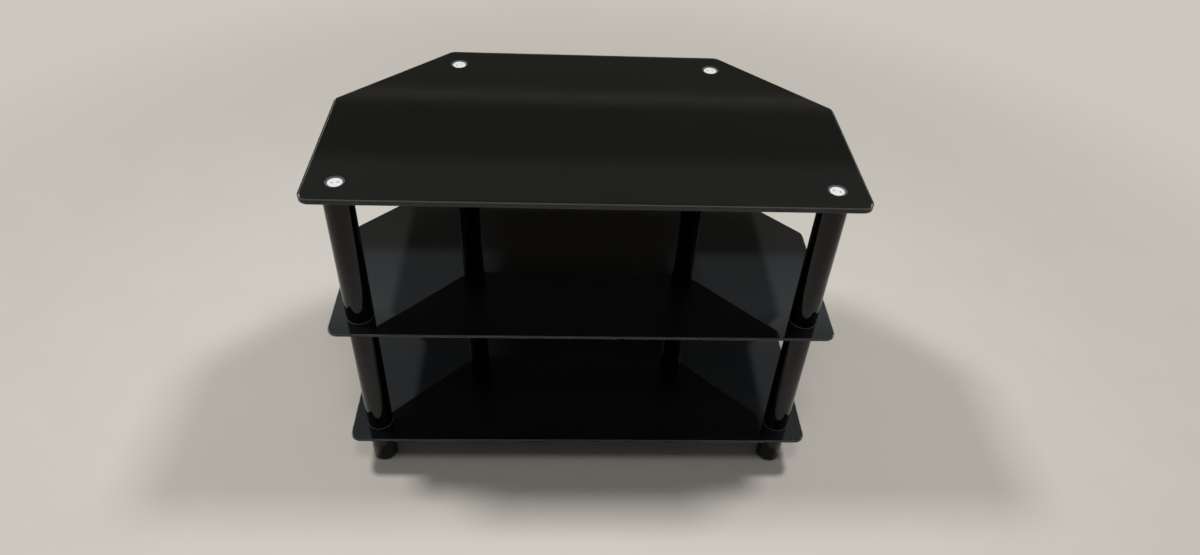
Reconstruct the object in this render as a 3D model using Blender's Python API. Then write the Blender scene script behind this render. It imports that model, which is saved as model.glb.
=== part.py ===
"""Corner television stand: three black glass shelves on four tubular legs.

Each leg is a stack. From the floor up it holds a soft pad, a levelling screw, a foot tube, the bottom
glass, a lower tube, the middle glass, an upper tube and the top glass, with a thin washer wherever a
tube meets glass. Studs join the tubes through the two lower shelves, and a countersunk screw in a
plastic liner holds the top glass. Metres, +Z up; the origin is on the floor below the middle of the
shelves, and the straight front edge faces -Y.
"""

import math

import bmesh
import bpy

# Clearances
GAP = 0.0003                    # between pieces that rest on or pass through each other
CONE_GAP = 0.00045              # radial, between matching cones
GLASS_HOLE_GAP = 0.001          # radial, between a stud and the glass

# Shelf outline
SHELF_WIDTH = 0.700
SHELF_DEPTH = 0.385
CORNER_CUT = 0.148              # run of each rear diagonal, equal along X and Y
CORNER_RADIUS = 0.015
CORNER_STEPS = 5
TOP_GLASS_THICKNESS = 0.008
LOWER_GLASS_THICKNESS = 0.005
ARRIS = 0.001                   # ground flat along every glass edge

# Leg positions, measured inwards from the shelf edges
FRONT_LEG_SIDE_INSET = 0.040
FRONT_LEG_EDGE_INSET = 0.038
REAR_LEG_CORNER_INSET = 0.014   # sideways, from the end of the rear edge
REAR_LEG_EDGE_INSET = 0.039

# Tubes
TUBE_RADIUS = 0.019
TUBE_WALL = 0.0015
END_PLATE = 0.008               # threaded plate welded into each end of a tube
FOOT_TUBE_LENGTH = 0.067
LOWER_TUBE_LENGTH = 0.216
UPPER_TUBE_LENGTH = 0.213

# Threads, drawn as plain cylinders
THREAD_RADIUS = 0.004
THREAD_HOLE_RADIUS = THREAD_RADIUS + GAP
THREAD_OVERRUN = 0.001          # how far a stud or screw passes its end plate
THREAD_CHAMFER = 0.0006
GLASS_HOLE_RADIUS = THREAD_RADIUS + GLASS_HOLE_GAP

# Washers between tube and glass
WASHER_THICKNESS = 0.0012
WASHER_OVERHANG = 0.0002        # how far a washer stands out past the tube
WASHER_RADIUS = TUBE_RADIUS + WASHER_OVERHANG
WASHER_STACK = WASHER_THICKNESS + 2 * GAP

# Countersunk top screw and its liner; depths are below the top face of the glass
SCREW_HEAD_RADIUS = 0.0094
SCREW_RECESS = 0.0012
SCREW_EDGE = 0.0003
THROAT_LENGTH = 0.0011          # straight bore left in the glass below the screw's cone
CONE_TOP_DEPTH = SCREW_RECESS + SCREW_EDGE
CONE_BOTTOM_DEPTH = TOP_GLASS_THICKNESS - THROAT_LENGTH
CONE_SLOPE = (SCREW_HEAD_RADIUS - THREAD_RADIUS) / (CONE_BOTTOM_DEPTH - CONE_TOP_DEPTH)
SPANNER_HOLE_RADIUS = 0.00175
SPANNER_HOLE_OFFSET = 0.004
SPANNER_HOLE_DEPTH = 0.0022
LINER_RIM = 0.001               # width of the liner's flat rim
LINER_WALL = 0.00175            # round the straight part of its bore
LINER_SINK = 0.0001             # keeps the rim just below the glass face
LINER_BORE_RADIUS = THREAD_RADIUS + CONE_GAP
LINER_SLEEVE_RADIUS = LINER_BORE_RADIUS + LINER_WALL
LINER_MOUTH_RADIUS = SCREW_HEAD_RADIUS + CONE_GAP + CONE_SLOPE * CONE_TOP_DEPTH
LINER_RADIUS = LINER_MOUTH_RADIUS + LINER_RIM
SLEEVE_TOP_DEPTH = (LINER_RADIUS - LINER_SLEEVE_RADIUS) / CONE_SLOPE

# Levelling screw and pad
PAD_THICKNESS = 0.0012
SPIGOT_RADIUS = 0.0023
SPIGOT_HEIGHT = 0.003
FLANGE_INSET = 0.0018           # how far the flange is set in from the tube's side
FLANGE_RADIUS = TUBE_RADIUS - FLANGE_INSET
PAD_INSET = 0.0017
PAD_RADIUS = FLANGE_RADIUS - PAD_INSET
FLANGE_THICKNESS = 0.0017
FLUTE_DEPTH = 0.0005
FLUTES = 12
LEVELLING_TRAVEL = 0.008        # how far the screw can be wound out of the foot tube
LEVELLING_RESERVE = 0.0097      # thread still above the end plate when it is wound right out
LEVELLING_THREAD = GAP + END_PLATE + LEVELLING_TRAVEL + LEVELLING_RESERVE

# Facets round each turned piece
TUBE_FACETS = 24
SMALL_FACETS = 16
SMOOTH_ANGLE = math.radians(35)

# Height of each face of the stack
FLANGE_BOTTOM = PAD_THICKNESS + GAP
FOOT_TUBE_BOTTOM = FLANGE_BOTTOM + FLANGE_THICKNESS + GAP
BOTTOM_GLASS_BOTTOM = FOOT_TUBE_BOTTOM + FOOT_TUBE_LENGTH + WASHER_STACK
LOWER_TUBE_BOTTOM = BOTTOM_GLASS_BOTTOM + LOWER_GLASS_THICKNESS + WASHER_STACK
MIDDLE_GLASS_BOTTOM = LOWER_TUBE_BOTTOM + LOWER_TUBE_LENGTH + WASHER_STACK
UPPER_TUBE_BOTTOM = MIDDLE_GLASS_BOTTOM + LOWER_GLASS_THICKNESS + WASHER_STACK
TOP_GLASS_BOTTOM = UPPER_TUBE_BOTTOM + UPPER_TUBE_LENGTH + WASHER_STACK
TOP_GLASS_TOP = TOP_GLASS_BOTTOM + TOP_GLASS_THICKNESS

FRONT_LEG_X = SHELF_WIDTH / 2 - FRONT_LEG_SIDE_INSET
FRONT_LEG_Y = -SHELF_DEPTH / 2 + FRONT_LEG_EDGE_INSET
REAR_LEG_X = SHELF_WIDTH / 2 - CORNER_CUT - REAR_LEG_CORNER_INSET
REAR_LEG_Y = SHELF_DEPTH / 2 - REAR_LEG_EDGE_INSET

# Leg name: its centre, and the angle at which its screw's spanner holes stopped
LEGS = {
    "front_left": (-FRONT_LEG_X, FRONT_LEG_Y, math.radians(12)),
    "front_right": (FRONT_LEG_X, FRONT_LEG_Y, math.radians(-26)),
    "rear_left": (-REAR_LEG_X, REAR_LEG_Y, math.radians(34)),
    "rear_right": (REAR_LEG_X, REAR_LEG_Y, math.radians(-8)),
}


def clear_scene():
    """Remove every object that the file opened with."""
    for old in list(bpy.data.objects):
        bpy.data.objects.remove(old, do_unlink=True)


def finish(name, colour, roughness, metallic):
    """Return a Principled material."""
    material = bpy.data.materials.new(name)
    material.use_nodes = True
    shader = material.node_tree.nodes["Principled BSDF"]
    shader.inputs["Base Color"].default_value = (*colour, 1.0)
    shader.inputs["Roughness"].default_value = roughness
    shader.inputs["Metallic"].default_value = metallic
    return material


def place(name, mesh, material, location, turn=0.0):
    """Put one object that uses a mesh at a location, turned about Z."""
    part = bpy.data.objects.new(name, mesh)
    part.location = location
    part.rotation_euler.z = turn
    if not mesh.materials:
        mesh.materials.append(material)
    bpy.context.scene.collection.objects.link(part)
    return part


def to_mesh(name, shape):
    """Turn a closed bmesh into a mesh with outward faces and smooth round sides."""
    bmesh.ops.remove_doubles(shape, verts=shape.verts, dist=1e-6)
    bmesh.ops.recalc_face_normals(shape, faces=shape.faces)
    mesh = bpy.data.meshes.new(name)
    shape.to_mesh(mesh)
    shape.free()
    mesh.shade_smooth()
    mesh.set_sharp_from_angle(angle=SMOOTH_ANGLE)
    return mesh


def turn_profile(shape, profile, facets, closed, centre=(0.0, 0.0)):
    """Spin a profile of (radius, height) points round the Z axis that passes through a centre.

    A closed profile is a ring's section. An open one starts and ends on the axis.
    """
    x, y = centre
    points = [shape.verts.new((x + radius, y, height)) for radius, height in profile]
    edges = [shape.edges.new(pair) for pair in zip(points, points[1:])]
    if closed:
        edges.append(shape.edges.new((points[-1], points[0])))
    bmesh.ops.spin(
        shape, geom=points + edges, cent=(x, y, 0), axis=(0, 0, 1), dvec=(0, 0, 0),
        angle=math.tau, steps=facets, use_merge=True,
    )


def turned(name, profile, facets, closed=False):
    """Return the mesh of one turned piece."""
    shape = bmesh.new()
    turn_profile(shape, profile, facets, closed)
    return to_mesh(name, shape)


def pin_profile(radius, bottom, top, chamfer=0.0):
    """Outline of a solid pin between two heights."""
    if not chamfer:
        return [(0, bottom), (radius, bottom), (radius, top), (0, top)]
    return [
        (0, bottom), (radius - chamfer, bottom), (radius, bottom + chamfer),
        (radius, top - chamfer), (radius - chamfer, top), (0, top),
    ]


def tube(name, length):
    """Thin-walled tube with a threaded plate set into each end."""
    inner = TUBE_RADIUS - TUBE_WALL
    hole = THREAD_HOLE_RADIUS
    profile = [
        (TUBE_RADIUS, 0), (TUBE_RADIUS, length), (hole, length), (hole, length - END_PLATE),
        (inner, length - END_PLATE), (inner, END_PLATE), (hole, END_PLATE), (hole, 0),
    ]
    return turned(name, profile, TUBE_FACETS, closed=True)


def washer():
    """Flat ring between a tube and a shelf."""
    profile = [
        (WASHER_RADIUS, 0), (WASHER_RADIUS, WASHER_THICKNESS),
        (THREAD_HOLE_RADIUS, WASHER_THICKNESS), (THREAD_HOLE_RADIUS, 0),
    ]
    return turned("washer", profile, TUBE_FACETS, closed=True)


def joint_stud():
    """Headless stud centred on a lower shelf, reaching through the end plate on each side."""
    reach = LOWER_GLASS_THICKNESS / 2 + WASHER_STACK + END_PLATE + THREAD_OVERRUN
    return turned("joint_stud", pin_profile(THREAD_RADIUS, -reach, reach, THREAD_CHAMFER), SMALL_FACETS)


def screw_liner():
    """Conical plastic bush that keeps the metal screw off the top glass; Z is zero at the glass face."""
    narrowing = CONE_SLOPE * LINER_SINK
    bottom = GAP - TOP_GLASS_THICKNESS
    profile = [
        (LINER_MOUTH_RADIUS - narrowing, -LINER_SINK), (LINER_RADIUS - narrowing, -LINER_SINK),
        (LINER_SLEEVE_RADIUS, -SLEEVE_TOP_DEPTH), (LINER_SLEEVE_RADIUS, bottom),
        (LINER_BORE_RADIUS, bottom), (LINER_BORE_RADIUS, -CONE_BOTTOM_DEPTH),
    ]
    return turned("screw_liner", profile, TUBE_FACETS, closed=True)


def top_screw():
    """Countersunk screw: flat head, cone and threaded shank; Z is zero at the glass face."""
    end = -(TOP_GLASS_THICKNESS + WASHER_STACK + END_PLATE + THREAD_OVERRUN)
    profile = [
        (0, -SCREW_RECESS), (SCREW_HEAD_RADIUS - SCREW_EDGE, -SCREW_RECESS),
        (SCREW_HEAD_RADIUS, -CONE_TOP_DEPTH), (THREAD_RADIUS, -CONE_BOTTOM_DEPTH),
        (THREAD_RADIUS, end + THREAD_CHAMFER), (THREAD_RADIUS - THREAD_CHAMFER, end), (0, end),
    ]
    return turned("top_screw", profile, TUBE_FACETS)


def levelling_screw():
    """Fluted flange under the foot tube, with its thread above and a socket for the pad below."""
    socket = SPIGOT_RADIUS + GAP
    tip = FLANGE_THICKNESS + LEVELLING_THREAD
    profile = [
        (0, SPIGOT_HEIGHT), (socket, SPIGOT_HEIGHT), (socket, 0), (FLANGE_RADIUS, 0),
        (FLANGE_RADIUS, FLANGE_THICKNESS), (THREAD_RADIUS, FLANGE_THICKNESS),
        (THREAD_RADIUS, tip - THREAD_CHAMFER), (THREAD_RADIUS - THREAD_CHAMFER, tip), (0, tip),
    ]
    shape = bmesh.new()
    turn_profile(shape, profile, TUBE_FACETS, closed=False)
    for corner in shape.verts:
        radius = math.hypot(corner.co.x, corner.co.y)
        if radius > FLANGE_RADIUS - GAP:
            angle = math.atan2(corner.co.y, corner.co.x)
            fluted = FLANGE_RADIUS - FLUTE_DEPTH * (1 - math.cos(FLUTES * angle)) / 2
            corner.co.x *= fluted / radius
            corner.co.y *= fluted / radius
    return to_mesh("levelling_screw", shape)


def levelling_pad():
    """Soft disc that stays still on the floor, with a spigot on which the screw turns."""
    spigot_top = FLANGE_BOTTOM + SPIGOT_HEIGHT - GAP
    profile = [
        (0, 0), (PAD_RADIUS, 0), (PAD_RADIUS, PAD_THICKNESS), (SPIGOT_RADIUS, PAD_THICKNESS),
        (SPIGOT_RADIUS, spigot_top), (0, spigot_top),
    ]
    return turned("levelling_pad", profile, TUBE_FACETS)


def shelf_corners():
    """Sharp corners of a shelf, anticlockwise from the front left."""
    side, front, back = SHELF_WIDTH / 2, -SHELF_DEPTH / 2, SHELF_DEPTH / 2
    shoulder, tail = back - CORNER_CUT, side - CORNER_CUT
    return [
        (-side, front), (side, front), (side, shoulder), (tail, back), (-tail, back), (-side, shoulder),
    ]


def rounded(corners, radius, steps):
    """Replace each corner of a convex anticlockwise outline with an arc tangent to both sides."""
    outline = []
    for index, (x, y) in enumerate(corners):
        before, after = corners[index - 1], corners[(index + 1) % len(corners)]
        heading_in = math.atan2(y - before[1], x - before[0])
        heading_out = math.atan2(after[1] - y, after[0] - x)
        bend = (heading_out - heading_in) % math.tau
        setback = radius * math.tan(bend / 2)
        start_x, start_y = x - setback * math.cos(heading_in), y - setback * math.sin(heading_in)
        centre_x, centre_y = start_x - radius * math.sin(heading_in), start_y + radius * math.cos(heading_in)
        for step in range(steps + 1):
            angle = heading_in - math.pi / 2 + bend * step / steps
            outline.append((centre_x + radius * math.cos(angle), centre_y + radius * math.sin(angle)))
    return outline


def glass_sheet(name, thickness):
    """Shelf-shaped plate with every long edge ground to a small flat."""
    shape = bmesh.new()
    outline = rounded(shelf_corners(), CORNER_RADIUS, CORNER_STEPS)
    face = shape.faces.new([shape.verts.new((x, y, 0)) for x, y in outline])
    pushed = bmesh.ops.extrude_face_region(shape, geom=[face])["geom"]
    bmesh.ops.translate(
        shape, vec=(0, 0, thickness), verts=[item for item in pushed if isinstance(item, bmesh.types.BMVert)],
    )
    rims = [edge for edge in shape.edges if edge.verts[0].co.z == edge.verts[1].co.z]
    bmesh.ops.bevel(shape, geom=rims, offset=ARRIS, segments=1, affect="EDGES", clamp_overlap=True)
    return to_mesh(name, shape)


def cutter(name, profiles_at, facets):
    """Wire-only object that holds several turned cutting shapes.

    profiles_at lists (profile, centre) pairs; every profile starts and ends on its axis.
    """
    shape = bmesh.new()
    for profile, centre in profiles_at:
        turn_profile(shape, profile, facets, closed=False, centre=centre)
    tool = bpy.data.objects.new(name, to_mesh(name, shape))
    tool.hide_render = True
    tool.display_type = "WIRE"
    bpy.context.scene.collection.objects.link(tool)
    return tool


def cut(part, tool):
    """Take a cutter's shapes out of a part."""
    hole = part.modifiers.new("holes", "BOOLEAN")
    hole.operation = "DIFFERENCE"
    hole.solver = "EXACT"
    hole.object = tool


def countersink_cutter():
    """Four stepped holes through the top glass, each a cone above a straight hole."""
    above, below = TOP_GLASS_TOP + ARRIS, TOP_GLASS_BOTTOM - ARRIS
    mouth, throat = LINER_RADIUS + CONE_GAP, LINER_SLEEVE_RADIUS + CONE_GAP
    cone = [
        (0, above), (mouth + CONE_SLOPE * ARRIS, above),
        (throat, TOP_GLASS_TOP - SLEEVE_TOP_DEPTH), (throat, below), (0, below),
    ]
    return cutter("countersink_cutter", [(cone, (x, y)) for x, y, _ in LEGS.values()], TUBE_FACETS)


def stud_hole_cutter():
    """Four pins that pierce both lower shelves."""
    pin = pin_profile(GLASS_HOLE_RADIUS, BOTTOM_GLASS_BOTTOM - ARRIS, UPPER_TUBE_BOTTOM)
    return cutter("stud_hole_cutter", [(pin, (x, y)) for x, y, _ in LEGS.values()], SMALL_FACETS)


def spanner_hole_cutter():
    """Two blind holes in the head of each top screw."""
    face = TOP_GLASS_TOP - SCREW_RECESS
    pin = pin_profile(SPANNER_HOLE_RADIUS, face - SPANNER_HOLE_DEPTH, face + SPANNER_HOLE_DEPTH)
    holes = []
    for x, y, turn in LEGS.values():
        for side in (-SPANNER_HOLE_OFFSET, SPANNER_HOLE_OFFSET):
            holes.append((pin, (x + side * math.cos(turn), y + side * math.sin(turn))))
    return cutter("spanner_hole_cutter", holes, SMALL_FACETS)


def build_shelves():
    """Place the three glass shelves and pierce them for the legs."""
    black_glass = finish("black_glass", (0.010, 0.010, 0.011), 0.03, 0.0)
    lower_sheet = glass_sheet("lower_sheet", LOWER_GLASS_THICKNESS)
    top_sheet = glass_sheet("top_sheet", TOP_GLASS_THICKNESS)
    cut(place("top_glass", top_sheet, black_glass, (0, 0, TOP_GLASS_BOTTOM)), countersink_cutter())
    stud_holes = stud_hole_cutter()
    for name, height in (("middle_glass", MIDDLE_GLASS_BOTTOM), ("bottom_glass", BOTTOM_GLASS_BOTTOM)):
        cut(place(name, lower_sheet, black_glass, (0, 0, height)), stud_holes)


def build_legs():
    """Place every piece of the four leg stacks."""
    paint = finish("black_gloss_paint", (0.012, 0.012, 0.012), 0.08, 0.0)
    grey_plastic = finish("grey_plastic", (0.42, 0.43, 0.42), 0.45, 0.0)
    plated_steel = finish("plated_steel", (0.60, 0.61, 0.62), 0.30, 1.0)
    satin_steel = finish("satin_steel", (0.86, 0.86, 0.85), 0.28, 1.0)
    black_nylon = finish("black_nylon", (0.020, 0.020, 0.020), 0.50, 0.0)
    black_rubber = finish("black_rubber", (0.030, 0.029, 0.028), 0.80, 0.0)

    upper_glass_middle = MIDDLE_GLASS_BOTTOM + LOWER_GLASS_THICKNESS / 2
    lower_glass_middle = BOTTOM_GLASS_BOTTOM + LOWER_GLASS_THICKNESS / 2
    ring = washer()
    pieces = [
        ("upper_tube", tube("upper_tube", UPPER_TUBE_LENGTH), paint, UPPER_TUBE_BOTTOM),
        ("lower_tube", tube("lower_tube", LOWER_TUBE_LENGTH), paint, LOWER_TUBE_BOTTOM),
        ("foot_tube", tube("foot_tube", FOOT_TUBE_LENGTH), paint, FOOT_TUBE_BOTTOM),
        ("washer_under_top", ring, grey_plastic, TOP_GLASS_BOTTOM - GAP - WASHER_THICKNESS),
        ("washer_over_middle", ring, grey_plastic, UPPER_TUBE_BOTTOM - GAP - WASHER_THICKNESS),
        ("washer_under_middle", ring, grey_plastic, MIDDLE_GLASS_BOTTOM - GAP - WASHER_THICKNESS),
        ("washer_over_bottom", ring, grey_plastic, LOWER_TUBE_BOTTOM - GAP - WASHER_THICKNESS),
        ("washer_under_bottom", ring, grey_plastic, BOTTOM_GLASS_BOTTOM - GAP - WASHER_THICKNESS),
        ("screw_liner", screw_liner(), grey_plastic, TOP_GLASS_TOP),
        ("levelling_screw", levelling_screw(), black_nylon, FLANGE_BOTTOM),
        ("levelling_pad", levelling_pad(), black_rubber, 0.0),
    ]
    stud = joint_stud()
    pieces.append(("middle_stud", stud, plated_steel, upper_glass_middle))
    pieces.append(("bottom_stud", stud, plated_steel, lower_glass_middle))

    screw, spanner_holes = top_screw(), spanner_hole_cutter()
    for leg, (x, y, turn) in LEGS.items():
        for name, mesh, material, height in pieces:
            place(f"{name}_{leg}", mesh, material, (x, y, height))
        cut(place(f"top_screw_{leg}", screw, satin_steel, (x, y, TOP_GLASS_TOP), turn), spanner_holes)


def main():
    """Build the stand."""
    clear_scene()
    build_shelves()
    build_legs()


main()
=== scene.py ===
"""Looks of a corner television stand: three black glass shelves on four gloss black tube legs.

Every piece is worked out as a surface on a grid, in metres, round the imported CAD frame. Sub-assemblies are
dataclasses that build and dress their pieces; finishes are frozen dataclasses that wire their materials.
"""

import logging
import math
from abc import ABC, abstractmethod
from dataclasses import dataclass, field
from enum import Enum, IntEnum

import bpy
import numpy as np
from mathutils import Matrix, Vector
from mathutils.geometry import tessellate_polygon


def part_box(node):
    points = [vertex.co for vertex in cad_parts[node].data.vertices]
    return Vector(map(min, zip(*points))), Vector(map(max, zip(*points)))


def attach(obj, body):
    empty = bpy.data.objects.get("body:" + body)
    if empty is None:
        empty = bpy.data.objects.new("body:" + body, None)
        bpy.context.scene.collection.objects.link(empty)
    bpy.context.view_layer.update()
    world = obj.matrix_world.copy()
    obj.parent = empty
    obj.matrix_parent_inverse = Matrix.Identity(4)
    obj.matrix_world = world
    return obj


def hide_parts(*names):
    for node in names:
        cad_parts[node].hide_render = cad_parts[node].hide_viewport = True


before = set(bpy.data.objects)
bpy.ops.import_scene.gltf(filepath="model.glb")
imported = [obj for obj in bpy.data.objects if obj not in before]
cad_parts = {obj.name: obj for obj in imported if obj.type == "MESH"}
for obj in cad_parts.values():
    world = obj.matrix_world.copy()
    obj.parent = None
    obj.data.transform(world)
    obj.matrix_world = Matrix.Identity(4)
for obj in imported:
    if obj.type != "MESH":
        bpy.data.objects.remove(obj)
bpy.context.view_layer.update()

Array = np.ndarray
Rgba = tuple[float, float, float, float]
Settings = dict[str, object]
Links = dict[str | int, object]
Tree = bpy.types.NodeTree
Socket = bpy.types.NodeSocket
Finished = bpy.types.Material
Piece = bpy.types.Object

MM = 0.001
SHARP_ANGLE = math.radians(30)
MERGE = 1e-7                    # closer profile points are one point

log = logging.getLogger("stand")


class Leg(Enum):
    """The four legs, named as in the CAD nodes."""

    FRONT_LEFT = "front_left"
    FRONT_RIGHT = "front_right"
    REAR_LEFT = "rear_left"
    REAR_RIGHT = "rear_right"


class Zone(IntEnum):
    """Material slots of a glass shelf."""

    FACE = 0
    RIM = 1
    ARRIS = 2
    BACK = 3


# ---------------------------------------------------------------------------------------------- surfaces


def filleted(corners: Array, radii: Array, steps: int = 5) -> Array:
    """Round the corners of an open profile with tangent arcs.

    Each arc starts one setback before its corner, where the setback is the radius times the tangent of
    half the turn, and swings about a centre one radius to the side.

    Args:
        corners: Points (n, 2) of the profile.
        radii: Fillet radius at each corner; zero keeps it sharp.
        steps: Straight pieces in each arc.

    Returns:
        Points (m, 2) with repeated ones dropped.
    """
    corners, radii = np.asarray(corners, float), np.asarray(radii, float)
    run = np.diff(corners, axis=0, prepend=2 * corners[:1] - corners[1:2], append=0)[: len(corners)]
    ahead = np.diff(corners, axis=0, append=2 * corners[-1:] - corners[-2:-1])
    run, ahead = (v / np.linalg.norm(v, axis=1, keepdims=True) for v in (run, ahead))
    turn = np.arctan2(run[:, 0] * ahead[:, 1] - run[:, 1] * ahead[:, 0], (run * ahead).sum(1))
    side = np.where(turn < 0, -1.0, 1.0)[:, None]
    start = corners - run * (radii * np.tan(np.abs(turn) / 2))[:, None]
    centre = start + side * radii[:, None] * np.stack([-run[:, 1], run[:, 0]], 1)
    angle = turn[:, None] * np.linspace(0, 1, steps + 1)
    arm = (start - centre)[:, None, :]
    swung = np.stack([
        arm[..., 0] * np.cos(angle) - arm[..., 1] * np.sin(angle),
        arm[..., 0] * np.sin(angle) + arm[..., 1] * np.cos(angle),
    ], 2)
    points = (centre[:, None, :] + swung).reshape(-1, 2)
    kept = np.linalg.norm(np.diff(points, axis=0, prepend=points[:1] + 1), axis=1) > MERGE
    return points[kept]


def circle(segments: int) -> tuple[Array, Array]:
    """Cosines and sines of evenly spaced angles round one turn."""
    angle = np.arange(segments) * math.tau / segments
    return np.cos(angle), np.sin(angle)


@dataclass
class Surface:
    """Points and faces of one piece, gathered from grids, fans and flat caps."""

    points: list[Array] = field(default_factory=list)
    faces: list[list[int]] = field(default_factory=list)
    zones: list[int] = field(default_factory=list)
    count: int = 0

    def add_points(self, points: Array) -> Array:
        """Store points and number them in the same arrangement.

        Args:
            points: Places, (..., 3).

        Returns:
            Their indices, (...).
        """
        flat = points.reshape(-1, 3)
        self.points.append(flat)
        self.count += len(flat)
        return np.arange(self.count - len(flat), self.count).reshape(points.shape[:-1])

    def add_faces(self, faces: Array, zone: int) -> None:
        """Store faces that are given as rows of point indices."""
        self.faces += faces.tolist()
        self.zones += [zone] * len(faces)

    def add_quads(self, index: Array, zone: int = 0, loop: bool = False) -> None:
        """Join a grid of points into quads that wrap round its columns.

        Args:
            index: Point indices (rows, columns).
            zone: Material slot.
            loop: Whether the last row joins the first.
        """
        beside = np.roll(index, -1, axis=1)
        lower, upper = (index, np.roll(index, -1, axis=0)) if loop else (index[:-1], index[1:])
        right, above = (beside, np.roll(beside, -1, axis=0)) if loop else (beside[:-1], beside[1:])
        self.add_faces(np.stack([lower, right, above, upper], -1).reshape(-1, 4), zone)

    def add_turned(
        self, profile: Array, segments: int, centre: tuple[float, float], zone: int = 0,
        loop: bool = False, ripple: Array | None = None,
    ) -> Array:
        """Carry a profile of (radius, height) round a vertical axis.

        A point is the centre plus its radius times the cosine and sine of the angle. The profile runs
        anticlockwise, so that faces point outwards, and an end on the axis closes to a pole.

        Args:
            profile: Points (n, 2).
            segments: Steps round the axis.
            centre: Where the axis stands.
            zone: Material slot.
            loop: Whether the profile is a ring's closed section.
            ripple: Radius to add at each profile point and angle, (n, segments).

        Returns:
            Indices (rows, segments) of the points off the axis.
        """
        cosine, sine = circle(segments)
        off_axis = profile[:, 0] > MERGE
        rings = profile[off_axis]
        radius = rings[:, :1] + (0 if ripple is None else ripple[off_axis])
        radius = np.broadcast_to(radius, (len(rings), segments))
        height = np.broadcast_to(rings[:, 1:], radius.shape)
        index = self.add_points(np.stack(
            [centre[0] + radius * cosine, centre[1] + radius * sine, height], -1))
        self.add_quads(index, zone, loop)
        if not off_axis[0]:
            pole = self.add_points(np.array([[*centre, profile[0, 1]]]))[0]
            ring = index[0]
            self.add_faces(np.stack([np.full_like(ring, pole), np.roll(ring, -1), ring], -1), zone)
        if not off_axis[-1]:
            pole = self.add_points(np.array([[*centre, profile[-1, 1]]]))[0]
            ring = index[-1]
            self.add_faces(np.stack([ring, np.roll(ring, -1), np.full_like(ring, pole)], -1), zone)
        return index

    def add_cap(self, loops: list[Array], up: bool, zone: int = 0) -> None:
        """Fill the flat region between an outer loop and the holes in it.

        Args:
            loops: Point indices of the outer loop, then of each hole.
            up: Whether the cap faces up.
            zone: Material slot.
        """
        index = np.concatenate(loops)
        points = np.concatenate(self.points)
        outlines = [[Vector(p) for p in points[loop]] for loop in loops]
        triangles = index[np.array(tessellate_polygon(outlines))]
        a, b, c = (points[triangles[:, k], :2] for k in range(3))
        area = (b - a)[:, 0] * (c - a)[:, 1] - (b - a)[:, 1] * (c - a)[:, 0]
        turned_over = (area > 0) != up
        triangles[turned_over] = triangles[turned_over][:, ::-1]
        self.add_faces(triangles, zone)

    def to_object(self, name: str, body: str, nodes: list[str]) -> Piece:
        """Make the mesh, hang it on its body and hide the CAD nodes that it stands for.

        Args:
            name: Name of the piece.
            body: CAD body that it moves with.
            nodes: CAD nodes that it stands for.

        Returns:
            The piece, at the origin.
        """
        mesh = bpy.data.meshes.new(name)
        mesh.from_pydata(np.concatenate(self.points), [], self.faces)
        mesh.polygons.foreach_set("material_index", np.array(self.zones, np.int32))
        mesh.shade_smooth()
        mesh.set_sharp_from_angle(angle=SHARP_ANGLE)
        piece = bpy.data.objects.new(name, mesh)
        bpy.context.scene.collection.objects.link(piece)
        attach(piece, body)
        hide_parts(*nodes)
        log.info("%s: %d faces, rides on %s", name, len(self.faces), body)
        return piece


# ---------------------------------------------------------------------------------------------- finishes


def linear(colour: str) -> Rgba:
    """Turn an sRGB hex colour into a linear one.

    Args:
        colour: Hash sign and six hex digits.

    Returns:
        Linear red, green, blue and alpha.
    """
    channels = np.array([int(colour[k:k + 2], 16) for k in (1, 3, 5)]) / 255
    bright = ((channels + 0.055) / 1.055) ** 2.4
    return (*np.where(channels <= 0.04045, channels / 12.92, bright).tolist(), 1.0)


def join(tree: Tree, node: bpy.types.Node, links: Links) -> None:
    """Link or set the input sockets of a node.

    Args:
        tree: Node tree that the node is in.
        node: Node whose inputs are set.
        links: Sockets by name or number, each with an output to link to or a constant.
    """
    for socket, value in links.items():
        if isinstance(value, Socket):
            tree.links.new(value, node.inputs[socket])
        else:
            node.inputs[socket].default_value = value


def add_node(
    tree: Tree, kind: str, settings: Settings | None = None, links: Links | None = None,
) -> bpy.types.Node:
    """Add one node to a tree.

    Args:
        tree: Node tree of a material or world.
        kind: Blender's name for the node, less its leading ShaderNode.
        settings: Properties by name; stops sets a colour ramp's stops.
        links: Sockets by name or number, each given an output to link to or a constant.

    Returns:
        The node.
    """
    node = tree.nodes.new(f"ShaderNode{kind}")
    for name, value in (settings or {}).items():
        if name == "stops":
            elements = node.color_ramp.elements
            for _ in range(len(value) - 2):
                elements.new(0.5)
            for element, (position, colour) in zip(elements, value):
                element.position, element.color = position, colour
        else:
            setattr(node, name, value)
    join(tree, node, links or {})
    return node


def per_metre(size_mm: float) -> float:
    """Texture scale at which one feature is about this many millimetres wide."""
    return 1 / (size_mm * MM)


@dataclass(frozen=True)
class Finish(ABC):
    """A named surface finish that wires its own node material."""

    name: str

    def material(self) -> Finished:
        """Wire this finish to a new material.

        Returns:
            A new material with this finish.
        """
        material = bpy.data.materials.new(self.name)
        material.use_nodes = True
        tree = material.node_tree
        join(tree, tree.nodes["Principled BSDF"], self.wire(tree, self.place(tree)))
        return material

    def place(self, tree: Tree) -> Socket:
        """Return the socket with the point's place on the piece, in metres."""
        return add_node(tree, "TexCoord").outputs["Object"]

    @abstractmethod
    def wire(self, tree: Tree, place: Socket) -> Links:
        """Add this finish's patterns to a material.

        Args:
            tree: Node tree of the material.
            place: Socket with the point's place on the piece, in metres.

        Returns:
            What each socket of the shader gets.
        """


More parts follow.
